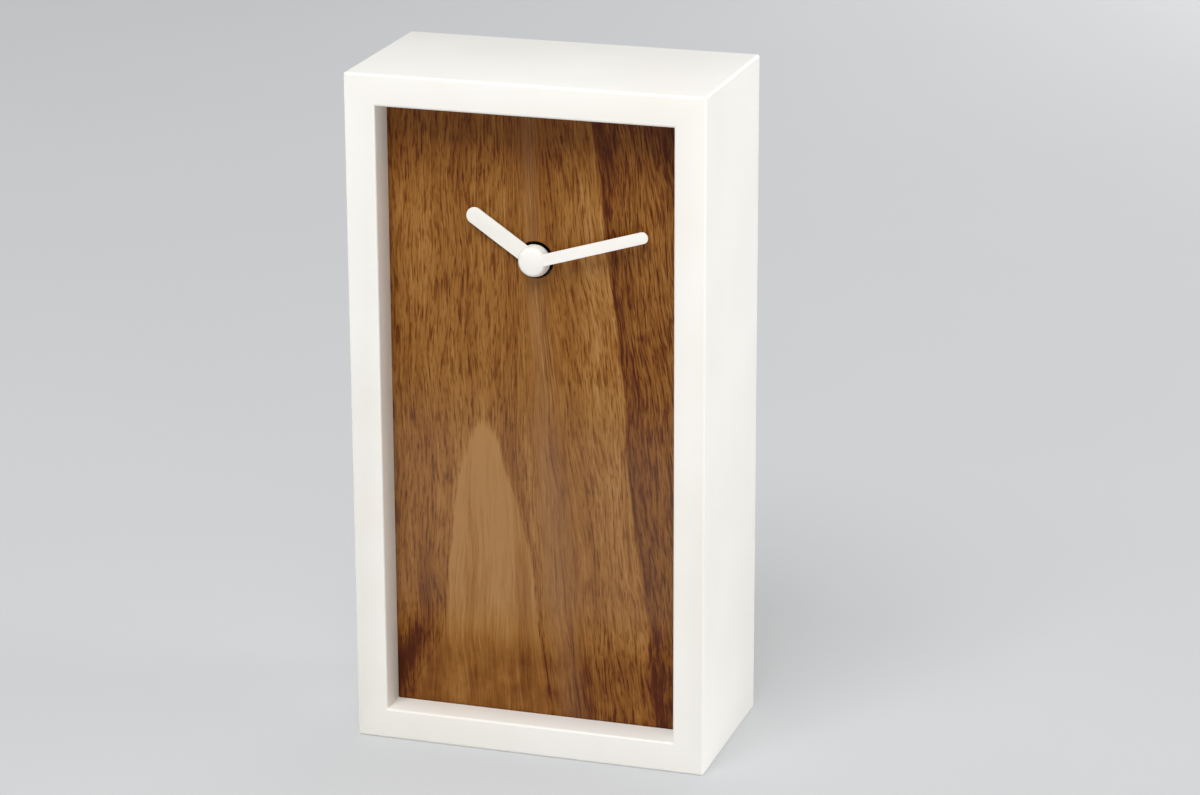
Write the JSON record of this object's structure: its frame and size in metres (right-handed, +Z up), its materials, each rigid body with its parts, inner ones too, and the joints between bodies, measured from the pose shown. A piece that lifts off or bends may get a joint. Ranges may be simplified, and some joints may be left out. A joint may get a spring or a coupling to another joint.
{
  "type": "desk clock",
  "caption": "Upright desk clock: white box case round a recessed walnut dial, two white baton hands and a battery quartz movement.",
  "frame": {"origin": "centre of the underside, on the surface that the clock stands on", "axes": "+Z up along the clock's height, -Y out of the dial, +X to the right as the dial is seen"},
  "size_m": [0.1058, 0.0552, 0.2],
  "materials": {
    "case_white": "off-white solid-surface case, satin",
    "dial_walnut": "oiled walnut, vertical grain",
    "board_plywood": "raw plywood",
    "block_beech": "raw beech",
    "nut_black": "blackened brass ring nut",
    "washer_rubber": "black rubber",
    "minute_hand_white": "white, satin",
    "hour_hand_white": "white, satin",
    "arbor_brass": "turned brass",
    "wheel_nylon": "natural moulded nylon",
    "knob_black": "black moulded plastic",
    "magnet_grey": "sintered magnet",
    "motor_steel": "soft iron sheet",
    "bobbin_nylon": "moulded nylon",
    "winding_copper": "enamelled copper wire",
    "circuit_green": "green circuit board",
    "chip_black": "black epoxy blob",
    "crystal_steel": "plated can",
    "battery_steel": "nickel-plated steel",
    "battery_sleeve_grey": "plain shrink sleeve",
    "contact_steel": "plated spring steel",
    "housing_black": "black moulded plastic"
  },
  "bodies": {
    "clock": {"case_body": "case_white", "dial_panel": "dial_walnut", "backing_board": "board_plywood", "corner_block_lower_left": "block_beech", "corner_block_lower_right": "block_beech", "corner_block_upper_left": "block_beech", "corner_block_upper_right": "block_beech", "centre_nut": "nut_black", "rubber_washer": "washer_rubber", "stator": "motor_steel", "coil_core": "motor_steel", "coil_bobbin": "bobbin_nylon", "coil_winding": "winding_copper", "circuit_board": "circuit_green", "clock_chip": "chip_black", "crystal_can": "crystal_steel", "battery_can": "battery_steel", "battery_sleeve": "battery_sleeve_grey", "contact_negative": "contact_steel", "contact_positive": "contact_steel", "mid_plate": "housing_black", "movement_front_case": "housing_black", "movement_rear_cover": "housing_black"},
    "minute": {"minute_hand": "minute_hand_white", "minute_arbor": "arbor_brass"},
    "hour": {"hour_hand": "hour_hand_white", "hour_wheel": "wheel_nylon"},
    "setting": {"set_knob": "knob_black", "minute_work_wheel": "wheel_nylon"},
    "rotor": {"rotor_magnet": "magnet_grey", "rotor_pinion": "wheel_nylon"},
    "intermediate": {"intermediate_wheel": "wheel_nylon"},
    "seconds": {"seconds_wheel": "wheel_nylon"},
    "third": {"third_wheel": "wheel_nylon"},
    "centre": {"centre_wheel": "wheel_nylon"}
  },
  "joints": [
    {"name": "minute_hand_turn", "type": "hinge", "parent": "clock", "child": "minute", "pos_m": [0, -0.02, 0.1471], "axis": [0, 1, 0], "continuous": true},
    {"name": "hour_hand_turn", "type": "hinge", "parent": "clock", "child": "hour", "pos_m": [0, -0.0175, 0.1471], "axis": [0, 1, 0], "continuous": true},
    {"name": "set_knob_turn", "type": "hinge", "parent": "clock", "child": "setting", "pos_m": [0.00977, 0.006, 0.14882], "axis": [0, 1, 0], "continuous": true},
    {"name": "rotor_turn", "type": "hinge", "parent": "clock", "child": "rotor", "pos_m": [0, 0, 0.1601], "axis": [0, 1, 0], "continuous": true},
    {"name": "intermediate_turn", "type": "hinge", "parent": "clock", "child": "intermediate", "pos_m": [0, 0, 0.1541], "axis": [0, 1, 0], "continuous": true},
    {"name": "seconds_turn", "type": "hinge", "parent": "clock", "child": "seconds", "pos_m": [0, 0, 0.1471], "axis": [0, 1, 0], "continuous": true},
    {"name": "third_turn", "type": "hinge", "parent": "clock", "child": "third", "pos_m": [-0.00679, -0.003, 0.15389], "axis": [0, 1, 0], "continuous": true},
    {"name": "centre_turn", "type": "hinge", "parent": "clock", "child": "centre", "pos_m": [0, -0.0045, 0.1471], "axis": [0, 1, 0], "continuous": true}
  ],
  "couplings": [
    {"joint": "hour_hand_turn", "follows": "minute_hand_turn", "ratio": 0.083333},
    {"joint": "set_knob_turn", "follows": "minute_hand_turn", "ratio": -0.33333},
    {"joint": "intermediate_turn", "follows": "rotor_turn", "ratio": -0.2},
    {"joint": "seconds_turn", "follows": "rotor_turn", "ratio": 0.033333},
    {"joint": "third_turn", "follows": "rotor_turn", "ratio": -0.0044444},
    {"joint": "centre_turn", "follows": "rotor_turn", "ratio": 0.00055556}
  ]
}
